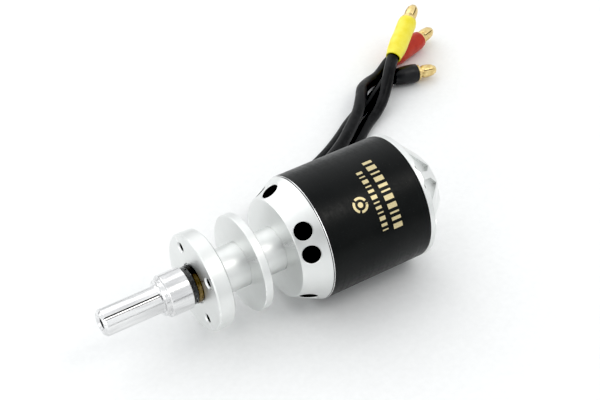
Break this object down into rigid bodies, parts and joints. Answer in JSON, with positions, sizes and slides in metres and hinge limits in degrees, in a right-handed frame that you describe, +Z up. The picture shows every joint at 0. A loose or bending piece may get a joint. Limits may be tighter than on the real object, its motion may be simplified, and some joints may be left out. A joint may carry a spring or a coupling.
{
  "type": "brushless outrunner motor",
  "caption": "Brushless outrunner motor with a turning black can, a long flanged front bearing tube, a stepped shaft adapter and three leads.",
  "frame": {"origin": "centre of the mounting flange's front face, on the shaft axis", "axes": "X along the shaft, nose towards -X and bell towards +X; +Z up, with the can lying on the surface at z = -14 mm; the leads leave towards +Y"},
  "size_m": [0.1233, 0.0735, 0.028],
  "materials": {
    "blasted_aluminium": "satin",
    "turned_aluminium": "polished",
    "black_can": "satin",
    "ground_steel": "polished",
    "black_steel": "gloss",
    "lamination_steel": "satin",
    "slot_liner": "matte",
    "copper_wire": "gloss",
    "nickel_magnet": "satin",
    "silicone_lead": "matte",
    "gold_plate": "polished",
    "yellow_sleeve": "satin",
    "red_sleeve": "satin",
    "black_sleeve": "satin"
  },
  "bodies": {
    "stator": {"mounting_flange": "blasted_aluminium", "bearing_tube": "blasted_aluminium", "locating_disc": "blasted_aluminium", "front_cover": "blasted_aluminium", "stator_core": "lamination_steel", "stator_insulator_front": "slot_liner", "stator_insulator_rear": "slot_liner", "coil_1": "copper_wire", "coil_2": "copper_wire", "coil_3": "copper_wire", "coil_4": "copper_wire", "coil_5": "copper_wire", "coil_6": "copper_wire", "coil_7": "copper_wire", "coil_8": "copper_wire", "coil_9": "copper_wire", "front_bearing_outer_race": "ground_steel", "rear_bearing_outer_race": "ground_steel", "lead_yellow": "silicone_lead", "sleeve_yellow": "yellow_sleeve", "bullet_yellow": "gold_plate", "lead_red": "silicone_lead", "sleeve_red": "red_sleeve", "bullet_red": "gold_plate", "lead_black": "silicone_lead", "sleeve_black": "black_sleeve", "bullet_black": "gold_plate"},
    "rotor": {"rotor_can": "black_can", "magnet_1": "nickel_magnet", "magnet_2": "nickel_magnet", "magnet_3": "nickel_magnet", "magnet_4": "nickel_magnet", "magnet_5": "nickel_magnet", "magnet_6": "nickel_magnet", "rear_bell": "blasted_aluminium", "shaft": "ground_steel", "shaft_adapter": "turned_aluminium", "shaft_spacer": "black_steel", "adapter_grub_screw": "black_steel", "bell_grub_screw": "black_steel", "front_bearing_inner_race": "ground_steel", "rear_bearing_inner_race": "ground_steel"},
    "front_cage": {"front_bearing_ball_cage": "ground_steel"},
    "rear_cage": {"rear_bearing_ball_cage": "ground_steel"}
  },
  "joints": [
    {"name": "rotor_spin", "type": "hinge", "parent": "stator", "child": "rotor", "pos_m": [0, 0, 0], "axis": [1, 0, 0], "continuous": true},
    {"name": "front_cage_spin", "type": "hinge", "parent": "stator", "child": "front_cage", "pos_m": [0.00275, 0, 0], "axis": [1, 0, 0], "continuous": true},
    {"name": "rear_cage_spin", "type": "hinge", "parent": "stator", "child": "rear_cage", "pos_m": [0.0453, 0, 0], "axis": [1, 0, 0], "continuous": true}
  ],
  "couplings": [
    {"joint": "front_cage_spin", "follows": "rotor_spin", "ratio": 0.44},
    {"joint": "rear_cage_spin", "follows": "rotor_spin", "ratio": 0.44}
  ]
}
